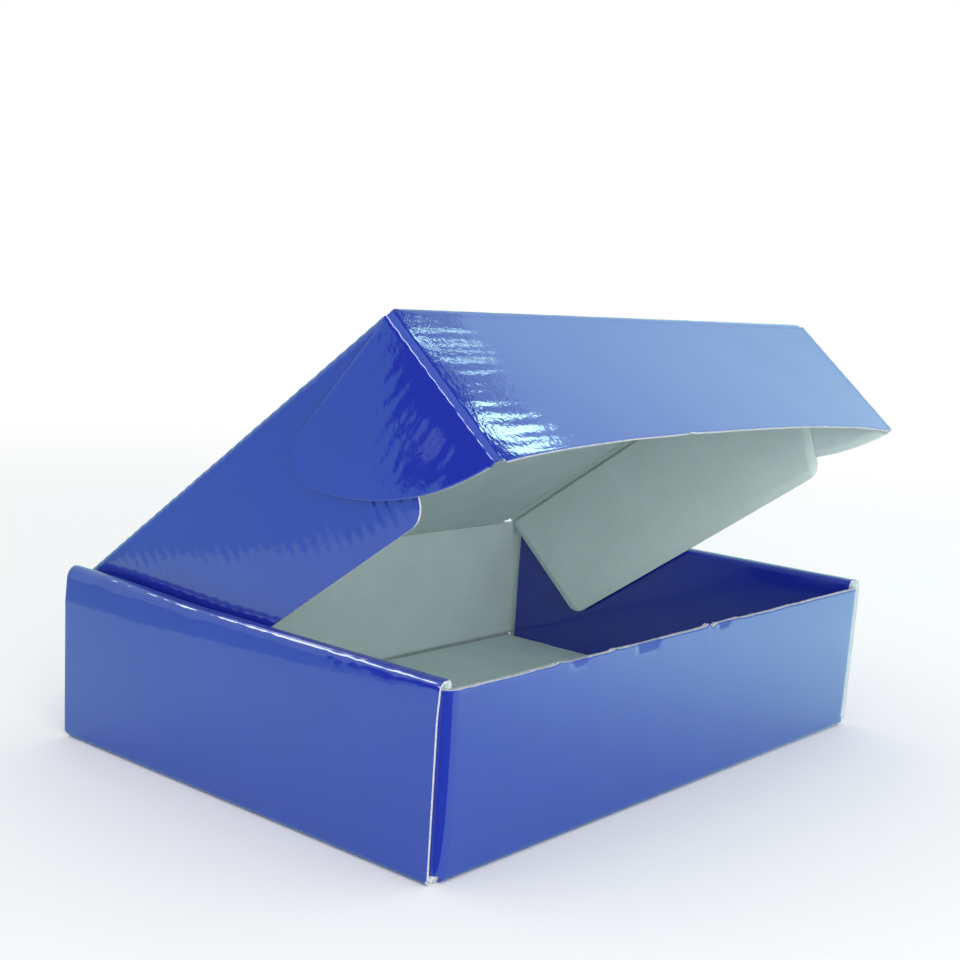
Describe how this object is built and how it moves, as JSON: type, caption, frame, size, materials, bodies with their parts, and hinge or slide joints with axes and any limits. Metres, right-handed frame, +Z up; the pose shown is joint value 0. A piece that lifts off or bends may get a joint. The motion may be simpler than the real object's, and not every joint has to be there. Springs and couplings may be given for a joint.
{
  "type": "corrugated mailer box",
  "caption": "Shallow roll-end mailer of glossy blue corrugated board, folded from one sheet, with a hinged lid, dust flaps, a tuck flap and folded ears.",
  "frame": {"origin": "middle of the underside of the tray's base", "axes": "+X towards the box's right side, -Y towards its front, where the lid opens, +Z up"},
  "size_m": [0.34, 0.2477, 0.2106],
  "materials": {
    "printed_board": "gloss"
  },
  "bodies": {
    "tray": {"tray": "printed_board"},
    "lid": {"lid_panel": "printed_board"},
    "tuck": {"tuck_flap": "printed_board"},
    "left_dust": {"left_dust_flap": "printed_board"},
    "right_dust": {"right_dust_flap": "printed_board"},
    "left_ear": {"left_ear": "printed_board"},
    "right_ear": {"right_ear": "printed_board"}
  },
  "joints": [
    {"name": "lid_hinge", "type": "hinge", "parent": "tray", "child": "lid", "pos_m": [0, 0.116, 0.077], "axis": [-1, 0, 0], "range_deg": [-17, 75]},
    {"name": "tuck_hinge", "type": "hinge", "parent": "lid", "child": "tuck", "pos_m": [0, -0.07072, 0.20872], "axis": [-1, 0, 0], "range_deg": [-7, 75]},
    {"name": "left_dust_hinge", "type": "hinge", "parent": "lid", "child": "left_dust", "pos_m": [-0.1538, 0.116, 0.077], "axis": [0, -0.8171, 0.5764], "range_deg": [0, 85]},
    {"name": "right_dust_hinge", "type": "hinge", "parent": "lid", "child": "right_dust", "pos_m": [0.1538, 0.116, 0.077], "axis": [0, 0.8171, -0.5764], "range_deg": [0, 85]},
    {"name": "left_ear_hinge", "type": "hinge", "parent": "tuck", "child": "left_ear", "pos_m": [-0.1571, -0.07072, 0.20872], "axis": [0, 0.7627, 0.6468], "range_deg": [0, 90]},
    {"name": "right_ear_hinge", "type": "hinge", "parent": "tuck", "child": "right_ear", "pos_m": [0.1571, -0.07072, 0.20872], "axis": [0, -0.7627, -0.6468], "range_deg": [0, 90]}
  ]
}
